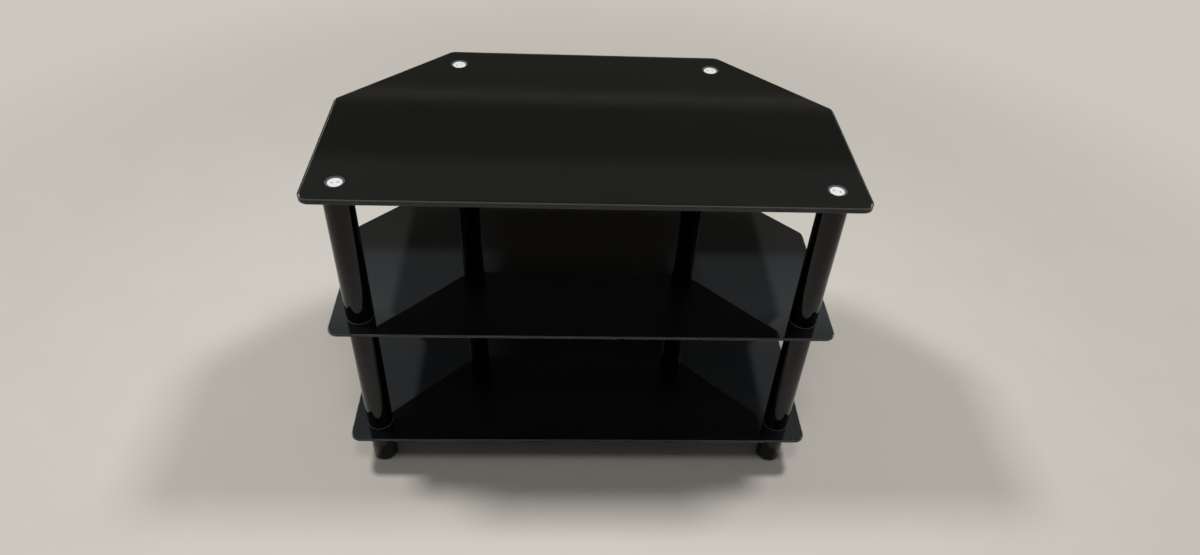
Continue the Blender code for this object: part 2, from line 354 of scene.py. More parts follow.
@dataclass(frozen=True)
class EnamelledGlass(Finish):
    """Toughened soda-lime glass with black ceramic enamel fired on below: a deep black mirror.

    Wiping leaves faint smears that soften the mirror in patches, dust lifts the black a little, a few bits
    of lint stay behind, and the toughening rollers leave a very long shallow wave.
    """

    haze: float                             # share of dust that lies everywhere
    enamel: str = "#040405"
    dust: str = "#8d9296"
    smear_mm: float = 70.0
    dust_mm: float = 1.0
    lint_mm: float = 16.0
    roller_mm: float = 240.0

    def wire(self, tree: Tree, place: Socket) -> Links:
        """Add dust, smears, lint and the roller wave.

        Args:
            tree: Node tree of the material.
            place: Socket with the point's place on the piece, in metres.

        Returns:
            What each socket of the shader gets.
        """
        cloth = add_node(tree, "Mapping", None, {
            "Vector": place, "Rotation": (0.0, 0.0, 0.5), "Scale": (1.0, 3.2, 1.0)})
        smears = add_node(tree, "TexNoise", None, {
            "Vector": cloth.outputs[0], "Scale": per_metre(self.smear_mm), "Detail": 5.0, "Roughness": 0.6})
        softness = add_node(tree, "MapRange", None, {
            "Value": smears.outputs[0], "From Min": 0.42, "From Max": 0.72, "To Min": 0.012, "To Max": 0.055})
        specks = add_node(tree, "TexNoise", None, {
            "Vector": place, "Scale": per_metre(self.dust_mm), "Detail": 2.0})
        settled = add_node(tree, "TexNoise", None, {
            "Vector": place, "Scale": per_metre(3 * self.smear_mm), "Detail": 3.0})
        grains = add_node(tree, "MapRange", None, {
            "Value": specks.outputs[0], "From Min": 0.45, "From Max": 0.85,
            "To Min": self.haze, "To Max": 2.0 * self.haze})
        film = add_node(tree, "MapRange", None, {
            "Value": settled.outputs[0], "From Min": 0.30, "From Max": 0.70, "To Min": 0.6, "To Max": 1.2})
        thin = add_node(tree, "Math", {"operation": "MULTIPLY"}, {
            0: grains.outputs[0], 1: film.outputs[0]})
        strands = add_node(tree, "TexNoise", None, {
            "Vector": cloth.outputs[0], "Scale": per_metre(self.lint_mm), "Detail": 5.0, "Roughness": 0.65})
        lint = add_node(tree, "MapRange", None, {
            "Value": strands.outputs[0], "From Min": 0.74, "From Max": 0.82,
            "To Min": 0.0, "To Max": 12.0 * self.haze})
        amount = add_node(tree, "Math", {"operation": "ADD"}, {
            0: thin.outputs[0], 1: lint.outputs[0]})
        colour = add_node(tree, "Mix", {"data_type": "RGBA"}, {
            0: amount.outputs[0], 6: linear(self.enamel), 7: linear(self.dust)})
        wave = add_node(tree, "TexNoise", None, {
            "Vector": place, "Scale": per_metre(self.roller_mm), "Detail": 0.0})
        bump = add_node(tree, "Bump", None, {
            "Height": wave.outputs[0], "Strength": 0.35, "Distance": 0.25 * MM})
        return {
            "Base Color": colour.outputs[2], "Roughness": softness.outputs[0], "Normal": bump.outputs[0],
            "IOR": 1.52}


@dataclass(frozen=True)
class FiredEnamel(Finish):
    """The back of the black ceramic enamel, screen printed and fired: satin black with a fine stipple.

    The screen's mesh is too fine to show, so the stipple is drawn about 0.8 mm wide.
    """

    deep: str = "#0c0c0d"
    thin: str = "#151516"
    stipple_mm: float = 0.8
    squeegee_mm: float = 60.0

    def wire(self, tree: Tree, place: Socket) -> Links:
        """Add the stipple and squeegee bands.

        Args:
            tree: Node tree of the material.
            place: Socket with the point's place on the piece, in metres.

        Returns:
            What each socket of the shader gets.
        """
        pulled = add_node(tree, "Mapping", None, {
            "Vector": place, "Scale": (0.15, 1.0, 1.0)})
        bands = add_node(tree, "TexNoise", None, {
            "Vector": pulled.outputs[0], "Scale": per_metre(self.squeegee_mm), "Detail": 4.0})
        stipple = add_node(tree, "TexNoise", None, {
            "Vector": place, "Scale": per_metre(self.stipple_mm), "Detail": 2.0})
        colour = add_node(tree, "Mix", {"data_type": "RGBA"}, {
            0: bands.outputs[0], 6: linear(self.deep), 7: linear(self.thin)})
        rough = add_node(tree, "MapRange", None, {
            "Value": stipple.outputs[0], "From Min": 0.3, "From Max": 0.7, "To Min": 0.34, "To Max": 0.46})
        bump = add_node(tree, "Bump", None, {
            "Height": stipple.outputs[0], "Strength": 0.2, "Distance": 0.03 * MM})
        return {"Base Color": colour.outputs[2], "Roughness": rough.outputs[0], "Normal": bump.outputs[0]}


@dataclass(frozen=True)
class ClearGlass(Finish):
    """Clear soda-lime glass outside the enamel's border: it passes pale surroundings with a green cast."""

    tint: str = "#c9d1cc"
    deep_tint: str = "#b3bdb7"
    cord_mm: float = 12.0

    def wire(self, tree: Tree, place: Socket) -> Links:
        """Add a slight change of tint and polish.

        Args:
            tree: Node tree of the material.
            place: Socket with the point's place on the piece, in metres.

        Returns:
            What each socket of the shader gets.
        """
        cords = add_node(tree, "TexNoise", None, {
            "Vector": place, "Scale": per_metre(self.cord_mm), "Detail": 2.0})
        colour = add_node(tree, "Mix", {"data_type": "RGBA"}, {
            0: cords.outputs[0], 6: linear(self.tint), 7: linear(self.deep_tint)})
        polish = add_node(tree, "MapRange", None, {
            "Value": cords.outputs[0], "From Min": 0.3, "From Max": 0.7, "To Min": 0.01, "To Max": 0.06})
        return {
            "Base Color": colour.outputs[2], "Roughness": polish.outputs[0], "IOR": 1.52,
            "Transmission Weight": 1.0}


@dataclass(frozen=True)
class GroundGlass(Finish):
    """Arris ground with a 240 grit belt: a satin line that catches light along every edge.

    The grit's own marks are finer than can show, so the grain is drawn about 0.4 mm wide.
    """

    pale: str = "#8f9693"
    dark: str = "#7d8481"
    grain_mm: float = 0.4

    def wire(self, tree: Tree, place: Socket) -> Links:
        """Add the ground grain.

        Args:
            tree: Node tree of the material.
            place: Socket with the point's place on the piece, in metres.

        Returns:
            What each socket of the shader gets.
        """
        grain = add_node(tree, "TexNoise", None, {
            "Vector": place, "Scale": per_metre(self.grain_mm), "Detail": 3.0})
        passes = add_node(tree, "TexNoise", None, {
            "Vector": place, "Scale": per_metre(30 * self.grain_mm), "Detail": 2.0})
        colour = add_node(tree, "Mix", {"data_type": "RGBA"}, {
            0: passes.outputs[0], 6: linear(self.pale), 7: linear(self.dark)})
        rough = add_node(tree, "MapRange", None, {
            "Value": grain.outputs[0], "From Min": 0.3, "From Max": 0.7, "To Min": 0.28, "To Max": 0.5})
        bump = add_node(tree, "Bump", None, {
            "Height": grain.outputs[0], "Strength": 0.3, "Distance": 0.05 * MM})
        return {
            "Base Color": colour.outputs[2], "Roughness": rough.outputs[0], "Normal": bump.outputs[0],
            "IOR": 1.52, "Transmission Weight": 0.8}


@dataclass(frozen=True)
class GlossPaint(Finish):
    """Gloss black powder coat on steel tube: a black mirror that is softened by fine orange peel."""

    deep: str = "#040404"
    lifted: str = "#080707"
    peel_mm: float = 2.4
    ripple_mm: float = 14.0
    flow_mm: float = 45.0

    def wire(self, tree: Tree, place: Socket) -> Links:
        """Add orange peel and slow changes of gloss.

        Args:
            tree: Node tree of the material.
            place: Socket with the point's place on the piece, in metres.

        Returns:
            What each socket of the shader gets.
        """
        peel = add_node(tree, "TexNoise", None, {
            "Vector": place, "Scale": per_metre(self.peel_mm), "Detail": 1.0, "Roughness": 0.4})
        flow = add_node(tree, "TexNoise", None, {
            "Vector": place, "Scale": per_metre(self.flow_mm), "Detail": 4.0})
        colour = add_node(tree, "Mix", {"data_type": "RGBA"}, {
            0: flow.outputs[0], 6: linear(self.deep), 7: linear(self.lifted)})
        gloss = add_node(tree, "MapRange", None, {
            "Value": flow.outputs[0], "From Min": 0.35, "From Max": 0.7, "To Min": 0.05, "To Max": 0.11})
        ripple = add_node(tree, "TexNoise", None, {
            "Vector": place, "Scale": per_metre(self.ripple_mm), "Detail": 0.0})
        waves = add_node(tree, "Bump", None, {
            "Height": ripple.outputs[0], "Strength": 0.6, "Distance": 0.3 * MM})
        bump = add_node(tree, "Bump", None, {
            "Height": peel.outputs[0], "Strength": 0.12, "Distance": 0.03 * MM, "Normal": waves.outputs[0]})
        return {
            "Base Color": colour.outputs[2], "Roughness": gloss.outputs[0], "Normal": bump.outputs[0],
            "IOR": 1.35}


@dataclass(frozen=True)
class MouldedPlastic(Finish):
    """Injection-moulded plastic with a fine spark-eroded grain, such as polyethylene, nylon or rubber."""

    pale: str
    dark: str
    roughness: tuple[float, float]
    grain_mm: float

    def wire(self, tree: Tree, place: Socket) -> Links:
        """Add moulded grain and flow marks.

        Args:
            tree: Node tree of the material.
            place: Socket with the point's place on the piece, in metres.

        Returns:
            What each socket of the shader gets.
        """
        grain = add_node(tree, "TexNoise", None, {
            "Vector": place, "Scale": per_metre(self.grain_mm), "Detail": 3.0, "Roughness": 0.6})
        flow = add_node(tree, "TexNoise", None, {
            "Vector": place, "Scale": per_metre(15 * self.grain_mm), "Detail": 3.0})
        colour = add_node(tree, "Mix", {"data_type": "RGBA"}, {
            0: flow.outputs[0], 6: linear(self.pale), 7: linear(self.dark)})
        rough = add_node(tree, "MapRange", None, {
            "Value": grain.outputs[0], "From Min": 0.3, "From Max": 0.7,
            "To Min": self.roughness[0], "To Max": self.roughness[1]})
        bump = add_node(tree, "Bump", None, {
            "Height": grain.outputs[0], "Strength": 0.4, "Distance": 0.06 * MM})
        return {"Base Color": colour.outputs[2], "Roughness": rough.outputs[0], "Normal": bump.outputs[0]}


@dataclass(frozen=True)
class TurnedSteel(Finish):
    """Stainless screw head faced on a lathe and bead blasted: near white, with fine rings round its centre.

    Its near white, wired as only partly metallic, is partly the blasted steel's pale tone
    and partly a painted highlight, standing in for the lamp light that the head would mirror.
    Real feed marks are about 0.1 mm apart, so they are drawn 0.45 mm apart to show at all.
    """

    centre: tuple[float, float]
    # near white: partly the blasted steel's own pale tone, partly painted highlight for the lamps the head
    # would mirror
    bright: str = "#fbfaf8"
    dull: str = "#e9e8e5"
    feed_mm: float = 0.45

    def wire(self, tree: Tree, place: Socket) -> Links:
        """Add the lathe's rings.

        Args:
            tree: Node tree of the material.
            place: Socket with the point's place on the piece, in metres.

        Returns:
            What each socket of the shader gets.
        """
        place = add_node(tree, "Mapping", None, {
            "Vector": place, "Location": (-self.centre[0], -self.centre[1], 0.0)})
        rings = add_node(tree, "TexWave", {"wave_type": "RINGS", "rings_direction": "Z"}, {
            "Vector": place.outputs[0], "Scale": per_metre(self.feed_mm) / 20, "Distortion": 0.6,
            "Detail": 2.0, "Detail Scale": 3.0})
        patches = add_node(tree, "TexNoise", None, {
            "Vector": place.outputs[0], "Scale": per_metre(2.5), "Detail": 3.0})
        colour = add_node(tree, "Mix", {"data_type": "RGBA"}, {
            0: patches.outputs[0], 6: linear(self.bright), 7: linear(self.dull)})
        rough = add_node(tree, "MapRange", None, {
            "Value": rings.outputs["Fac"], "From Min": 0.0, "From Max": 1.0, "To Min": 0.42, "To Max": 0.52})
        bump = add_node(tree, "Bump", None, {
            "Height": rings.outputs["Fac"], "Strength": 0.25, "Distance": 0.03 * MM})
        return {
            "Base Color": colour.outputs[2], "Roughness": rough.outputs[0], "Normal": bump.outputs[0],
            "Metallic": 0.4}


@dataclass(frozen=True)
class ZincPlate(Finish):
    """Bright zinc-plated steel stud with a rolled M8 thread: cool metal, banded by the thread."""

    bright: str = "#c9ccd0"
    bloom: str = "#a9a79c"
    pitch_mm: float = 1.25

    def wire(self, tree: Tree, place: Socket) -> Links:
        """Add the thread's bands and the plating's bloom.

        Args:
            tree: Node tree of the material.
            place: Socket with the point's place on the piece, in metres.

        Returns:
            What each socket of the shader gets.
        """
        thread = add_node(tree, "TexWave", {"wave_type": "BANDS", "bands_direction": "Z"}, {
            "Vector": place, "Scale": per_metre(self.pitch_mm) / 20})
        bloom = add_node(tree, "TexNoise", None, {
            "Vector": place, "Scale": per_metre(3.0), "Detail": 4.0})
        colour = add_node(tree, "Mix", {"data_type": "RGBA"}, {
            0: bloom.outputs[0], 6: linear(self.bright), 7: linear(self.bloom)})
        rough = add_node(tree, "MapRange", None, {
            "Value": bloom.outputs[0], "From Min": 0.3, "From Max": 0.7, "To Min": 0.22, "To Max": 0.42})
        bump = add_node(tree, "Bump", None, {
            "Height": thread.outputs["Fac"], "Strength": 0.8, "Distance": 0.4 * MM})
        return {
            "Base Color": colour.outputs[2], "Roughness": rough.outputs[0], "Normal": bump.outputs[0],
            "Metallic": 1.0}


# ------------------------------------------------------------------------------------------ sub-assemblies


def axis_of(node: str) -> tuple[float, float]:
    """Where the vertical axis of a round CAD node stands."""
    low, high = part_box(node)
    return (low.x + high.x) / 2, (low.y + high.y) / 2


def heights_of(node: str) -> tuple[float, float]:
    """Lowest and highest height of a CAD node."""
    low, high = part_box(node)
    return low.z, high.z


@dataclass
class GlassShelf:
    """One shelf: a flat sheet with two cut rear corners, round corners and ground arrises."""

    node: str
    hole: Array                             # wall of each hole, (radius, depth below the top face)
    clear_rim: float                        # glass outside the enamel's border
    corner_cut: float = 148 * MM
    corner_radius: float = 15 * MM
    arris: float = 1.0 * MM
    corner_steps: int = 24
    hole_segments: int = 64

    def outline(self) -> tuple[Array, Array]:
        """Work out the corner arcs round the shelf.

        Pushing a centre out by the corner radius less an inset gives the outline inset by that much.

        Returns:
            Arc centres (n, 2) and outward directions (n, 2), anticlockwise.
        """
        low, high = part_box(self.node)
        cut = self.corner_cut
        corners = np.array([
            (low.x, low.y), (high.x, low.y), (high.x, high.y - cut), (high.x - cut, high.y),
            (low.x + cut, high.y), (low.x, high.y - cut)])
        ahead = np.roll(corners, -1, axis=0) - corners
        ahead /= np.linalg.norm(ahead, axis=1, keepdims=True)
        behind = np.roll(ahead, 1, axis=0)
        normal_in = np.stack([behind[:, 1], -behind[:, 0]], 1)
        normal_out = np.stack([ahead[:, 1], -ahead[:, 0]], 1)
        middle = normal_in + normal_out
        centre = corners - middle * self.corner_radius / (middle * normal_in).sum(1, keepdims=True)
        first = np.arctan2(normal_in[:, 1], normal_in[:, 0])
        bend = (np.arctan2(normal_out[:, 1], normal_out[:, 0]) - first) % math.tau
        angle = first[:, None] + bend[:, None] * np.linspace(0, 1, self.corner_steps + 1)
        out = np.stack([np.cos(angle), np.sin(angle)], -1).reshape(-1, 2)
        return np.repeat(centre, self.corner_steps + 1, axis=0), out

    def build(self, legs: list[tuple[float, float]]) -> Piece:
        """Build the sheet with a hole at each leg.

        Args:
            legs: Where the holes stand.

        Returns:
            The piece, with one material slot for each zone.
        """
        bottom, top = heights_of(self.node)
        centre, out = self.outline()
        rim, arris = self.clear_rim, self.arris
        section = np.array([
            (rim, bottom), (arris, bottom), (0, bottom + arris), (0, top - arris), (arris, top), (rim, top)])
        reach = self.corner_radius - section[:, 0]
        flat = centre[None] + reach[:, None, None] * out[None]
        height = np.broadcast_to(section[:, 1, None, None], (*flat.shape[:2], 1))
        sheet = Surface()
        rings = sheet.add_points(np.concatenate([flat, height], -1))
        for row, zone in enumerate((Zone.RIM, Zone.ARRIS, Zone.RIM, Zone.ARRIS, Zone.RIM)):
            sheet.add_quads(rings[row:row + 2], zone)
        wall = np.stack([self.hole[:, 0], top - self.hole[:, 1]], 1)
        holes = [sheet.add_turned(wall, self.hole_segments, leg, Zone.FACE) for leg in legs]
        sheet.add_cap([rings[-1]] + [hole[0] for hole in holes], True, Zone.FACE)
        sheet.add_cap([rings[0]] + [hole[-1] for hole in holes], False, Zone.BACK)
        return sheet.to_object(f"{self.node}_sheet", "stand", [self.node])

    def dress(self, sheet: Piece, finishes: list[Finished]) -> None:
        """Give the sheet its enamelled face, clear rim and ground arris, in the order of the zones."""
        for finish in finishes:
            sheet.data.materials.append(finish)


@dataclass
class TubeLeg:
    """The three painted tubes and five grey washers of one leg."""

    leg: Leg
    wall: float = 1.5 * MM
    end_plate: float = 8 * MM
    thread_hole: float = 4.3 * MM
    edge_round: float = 0.6 * MM
    washer_round: float = 0.35 * MM
    segments: int = 128

    TUBES = ("upper_tube", "lower_tube", "foot_tube")
    WASHERS = (
        "washer_under_top", "washer_over_middle", "washer_under_middle", "washer_over_bottom",
        "washer_under_bottom")

    def build_tube(self, kind: str) -> Piece:
        """Carry the section of one thin-walled tube with a threaded plate in each end round its axis.

        Args:
            kind: Which tube of the leg.

        Returns:
            The piece, at the origin.
        """
        node = f"{kind}_{self.leg.value}"
        low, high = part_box(node)
        radius, inner, hole = (high.x - low.x) / 2, (high.x - low.x) / 2 - self.wall, self.thread_hole
        plate, edge = self.end_plate, self.edge_round
        corners = [
            (hole, low.z), (radius, low.z), (radius, high.z), (hole, high.z), (hole, high.z - plate),
            (inner, high.z - plate), (inner, low.z + plate), (hole, low.z + plate)]
        section = filleted(np.array(corners), np.array([0, edge, edge, 0, 0, 0, 0, 0]))
        tube = Surface()
        tube.add_turned(section, self.segments, axis_of(node), loop=True)
        return tube.to_object(f"{node}_painted", "stand", [node])

    def build_washer(self, kind: str) -> Piece:
        """Carry a washer's rounded section round its axis.

        Args:
            kind: Which washer of the leg.

        Returns:
            The piece, at the origin.
        """
        node = f"{kind}_{self.leg.value}"
        low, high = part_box(node)
        radius, hole, edge = (high.x - low.x) / 2, self.thread_hole, self.washer_round
        corners = [(hole, low.z), (radius, low.z), (radius, high.z), (hole, high.z)]
        section = filleted(np.array(corners), np.array([0, edge, edge, 0]))
        washer = Surface()
        washer.add_turned(section, self.segments, axis_of(node), loop=True)
        return washer.to_object(f"{node}_ring", "stand", [node])

    def build(self, paint: Finished, plastic: Finished) -> None:
        """Build and dress the tubes and washers.

        Args:
            paint: Finish of the tubes.
            plastic: Finish of the washers.
        """
        for kind in self.TUBES:
            self.build_tube(kind).data.materials.append(paint)
        for kind in self.WASHERS:
            self.build_washer(kind).data.materials.append(plastic)


def thread_ripple(heights: Array, segments: int, pitch: float, depth: float) -> Array:
    """Radius to take off a shank so that a right-hand thread is left standing.

    The depth follows a rounded wave of the height in pitches less the angle in turns, and fades out over
    the first and last pitch.

    Args:
        heights: Heights up the shank, (n,).
        segments: Steps round the axis.
        pitch: Height of one turn.
        depth: Depth of the groove.

    Returns:
        What to add to the radius, (n, segments).
    """
    turns = heights[:, None] / pitch - np.arange(segments)[None] / segments
    ramp = np.minimum(heights - heights.min(), heights.max() - heights) / pitch
    return -depth * np.clip(ramp, 0, 1)[:, None] * (0.5 - 0.5 * np.cos(math.tau * turns))


@dataclass
class CountersunkScrew:
    """The screw at the top of one leg and the plastic liner that it sits in."""

    leg: Leg
    turn: float                             # angle at which the spanner holes stopped
    recess: float = 1.2 * MM                # below the glass face
    head_radius: float = 9.4 * MM
    head_edge: float = 0.3 * MM
    head_round: float = 0.1 * MM
    cone_end: float = 6.9 * MM              # depth at which the head's cone meets the shank
    shank_radius: float = 4.0 * MM
    spanner_radius: float = 1.75 * MM
    spanner_offset: float = 4.0 * MM
    spanner_depth: float = 2.8 * MM
    spanner_chamfer: float = 0.3 * MM
    drill_point: float = 0.2 * MM           # dip in the middle of each hole's floor
    pitch: float = 1.25 * MM
    thread_depth: float = 0.6 * MM
    rows_per_pitch: int = 8
    liner_rim: float = 0.9 * MM
    liner_groove: float = 1.5 * MM          # step down inside the liner's lip
    liner_gap: float = 0.45 * MM            # round the shank
    liner_wall: float = 1.75 * MM
    liner_recess: float = 0.1 * MM          # of the lip, below the glass face
    liner_edge: float = 0.25 * MM
    segments: int = 96
    hole_segments: int = 40

    def build_screw(self) -> Piece:
        """Build the head with its two blind holes, and the threaded shank.

        Returns:
            The piece, at the origin.
        """
        node = f"top_screw_{self.leg.value}"
        x, y = axis_of(node)
        bottom, face = heights_of(node)
        glass = face + self.recess
        shank_top = glass - self.cone_end
        rows = np.linspace(
            bottom + self.thread_depth, shank_top,
            int((shank_top - bottom) / self.pitch * self.rows_per_pitch))
        head = filleted(np.array([
            (self.shank_radius, shank_top), (self.head_radius, face - self.head_edge),
            (self.head_radius - self.head_edge, face)]), np.array([0, self.head_round, 0]))
        tip = np.array([(0, bottom), (self.shank_radius - self.thread_depth, bottom)])
        shank = np.stack([np.full(len(rows), self.shank_radius), rows], 1)
        section = np.concatenate([tip, shank, head[1:]])
        ripple = np.zeros((len(section), self.segments))
        ripple[2:2 + len(rows)] = thread_ripple(rows, self.segments, self.pitch, self.thread_depth)
        screw = Surface()
        rings = screw.add_turned(section, self.segments, (x, y), ripple=ripple)
        radius, chamfer = self.spanner_radius, self.spanner_chamfer
        blind = np.array([
            (radius + chamfer, face), (radius, face - chamfer), (radius, face - self.spanner_depth),
            (0, face - self.spanner_depth - self.drill_point)])
        offset = self.spanner_offset * np.array([math.cos(self.turn), math.sin(self.turn)])
        holes = [
            screw.add_turned(blind, self.hole_segments, (x + side * offset[0], y + side * offset[1]))
            for side in (-1, 1)]
        screw.add_cap([rings[-1]] + [hole[0] for hole in holes], True)
        return screw.to_object(f"{node}_turned", "stand", [node])

    def build_liner(self) -> Piece:
        """Carry the liner's conical section round the screw.

        Returns:
            The piece, at the origin.
        """
        node = f"screw_liner_{self.leg.value}"
        low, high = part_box(node)
        radius = (high.x - low.x) / 2
        bore = self.shank_radius + self.liner_gap
        sleeve = bore + self.liner_wall
        glass = high.z + self.liner_recess
        lip, groove = radius - self.liner_rim, self.liner_groove
        corners = [
            (bore, low.z), (sleeve, low.z), (sleeve, high.z - (radius - sleeve)), (radius, high.z),
            (lip, high.z), (lip, high.z - groove), (lip - groove, high.z - groove),
            (bore, glass - self.cone_end)]
        edge = self.liner_edge
        section = filleted(np.array(corners), np.array([0, 0, 0, edge / 2, edge, 0, 0, 0]))
        liner = Surface()
        liner.add_turned(section, self.segments, axis_of(node), loop=True)
        return liner.to_object(f"{node}_bush", "stand", [node])

    def build(self, plastic: Finished) -> None:
        """Build and dress the screw and its liner.

        Args:
            plastic: Finish of the liner.
        """
        screw = self.build_screw()
        steel = TurnedSteel(f"satin_steel_{self.leg.value}", axis_of(f"top_screw_{self.leg.value}"))
        screw.data.materials.append(steel.material())
        self.build_liner().data.materials.append(plastic)


@dataclass
class LevellingFoot:
    """A fluted levelling screw and the pad that stays still on the floor."""

    leg: Leg
    flange_thickness: float = 1.7 * MM
    flange_edge: float = 0.45 * MM
    flute_depth: float = 0.5 * MM
    flute_zone: tuple[float, float] = (0.8, 0.95)   # share of the radius where the flutes fade in
    flutes: int = 12
    shank_radius: float = 4.0 * MM
    socket_radius: float = 2.6 * MM
    spigot_radius: float = 2.3 * MM
    spigot_height: float = 3.0 * MM
    pad_thickness: float = 1.2 * MM
    pad_edge: float = 0.4 * MM
    pitch: float = 1.25 * MM
    thread_depth: float = 0.6 * MM
    rows_per_pitch: int = 8
    segments: int = 144

    def build_screw(self) -> Piece:
        """Build the flange, its flutes and the thread above it.

        The flange's radius swings in by half the flute depth times one less the cosine of twelve times
        the angle, wherever the section is near the rim.

        Returns:
            The piece, at the origin.
        """
        node = f"levelling_screw_{self.leg.value}"
        low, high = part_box(node)
        radius = (high.x - low.x) / 2
        rim_low, rim_high = low.z, low.z + self.flange_thickness
        socket, edge = self.socket_radius, self.flange_edge
        flange = filleted(np.array([
            (0, rim_low + self.spigot_height), (socket, rim_low + self.spigot_height), (socket, rim_low),
            (radius, rim_low), (radius, rim_high), (self.shank_radius, rim_high)]),
            np.array([0, 0, 0, edge, edge, 0]))
        rows = np.linspace(
            rim_high, high.z - self.thread_depth,
            int((high.z - rim_high) / self.pitch * self.rows_per_pitch))[1:]
        shank = np.stack([np.full(len(rows), self.shank_radius), rows], 1)
        tip = np.array([(self.shank_radius - self.thread_depth, high.z), (0, high.z)])
        section = np.concatenate([flange, shank, tip])
        angle = np.arange(self.segments) * math.tau / self.segments
        near_rim = np.interp(section[:, 0] / radius, self.flute_zone, (0, 1))
        ripple = -self.flute_depth * near_rim[:, None] * (1 - np.cos(self.flutes * angle))[None] / 2
        thread = slice(len(flange), len(flange) + len(rows))
        ripple[thread] = thread_ripple(rows, self.segments, self.pitch, self.thread_depth)
        screw = Surface()
        screw.add_turned(section, self.segments, axis_of(node), ripple=ripple)
        return screw.to_object(
            f"{node}_moulded", f"foot_screw_{self.leg.value}", [node])

    def build_pad(self) -> Piece:
        """Carry the pad's section, with its spigot, round its axis.

        Returns:
            The piece, at the origin.
        """
        node = f"levelling_pad_{self.leg.value}"
        low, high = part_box(node)
        radius, spigot = (high.x - low.x) / 2, self.spigot_radius
        top, edge = low.z + self.pad_thickness, self.pad_edge
        section = filleted(np.array([
            (0, low.z), (radius, low.z), (radius, top), (spigot, top), (spigot, high.z), (0, high.z)]),
            np.array([0, edge, edge, 0, edge / 2, 0]))
        pad = Surface()
        pad.add_turned(section, self.segments, axis_of(node))
        return pad.to_object(f"{node}_soft", f"foot_pad_{self.leg.value}", [node])

    def build(self, nylon: Finished, rubber: Finished) -> None:
        """Build and dress the foot."""
        self.build_screw().data.materials.append(nylon)
        self.build_pad().data.materials.append(rubber)


@dataclass
class Stand:
    """The whole object: shelves, legs, screws, feet and the hidden studs."""

    stud_hole: float = 5.0 * MM
    countersink: tuple[float, float, float] = (12.8 * MM, 6.65 * MM, 6.15 * MM)
    top_thickness: float = 8 * MM
    lower_thickness: float = 5 * MM
    screw_turns: dict[Leg, float] = field(default_factory=lambda: {
        Leg.FRONT_LEFT: math.radians(12), Leg.FRONT_RIGHT: math.radians(-26),
        Leg.REAR_LEFT: math.radians(34), Leg.REAR_RIGHT: math.radians(-8)})

    def build_shelves(self) -> None:
        """Build and dress the three shelves."""
        edges = [
            ClearGlass("clear_glass_rim").material(), GroundGlass("ground_glass_arris").material(),
            FiredEnamel("fired_black_enamel").material()]
        wiped = EnamelledGlass("enamelled_glass_wiped", 0.003).material()
        dusty = EnamelledGlass("enamelled_glass_dusty", 0.012).material()
        mouth, throat, cone = self.countersink
        stepped = np.array([(mouth, 0.0), (throat, cone), (throat, self.top_thickness)])
        plain = np.array([(self.stud_hole, 0.0), (self.stud_hole, self.lower_thickness)])
        legs = [axis_of(f"upper_tube_{leg.value}") for leg in Leg]
        for shelf, face in (
                (GlassShelf("top_glass", stepped, 3.0 * MM), wiped),
                (GlassShelf("middle_glass", plain, 1.8 * MM), dusty),
                (GlassShelf("bottom_glass", plain, 1.8 * MM), dusty)):
            shelf.dress(shelf.build(legs), [face, *edges])

    def build_legs(self) -> None:
        """Build and dress every piece of the four legs."""
        paint = GlossPaint("gloss_black_powder_coat").material()
        plastic = MouldedPlastic("grey_polyethylene", "#5e6063", "#505254", (0.30, 0.42), 0.5).material()
        nylon = MouldedPlastic("black_nylon", "#1b1b1b", "#111111", (0.42, 0.6), 0.4).material()
        rubber = MouldedPlastic("black_rubber", "#242322", "#191817", (0.7, 0.9), 0.7).material()
        for leg in Leg:
            TubeLeg(leg).build(paint, plastic)
            CountersunkScrew(leg, self.screw_turns[leg]).build(plastic)
            LevellingFoot(leg).build(nylon, rubber)

    def dress_studs(self) -> None:
        """Give the carried-over studs their plated thread."""
        zinc = ZincPlate("zinc_plated_stud").material()
        for leg in Leg:
            for kind in ("middle_stud", "bottom_stud"):
                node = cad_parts[f"{kind}_{leg.value}"]
                node.data.materials.clear()
                node.data.materials.append(zinc)
                log.info("%s: carried over from the CAD", node.name)

    def build(self) -> None:
        """Build the whole stand."""
        self.build_shelves()
        self.build_legs()
        self.dress_studs()


# -------------------------------------------------------------------------------------------------- stage


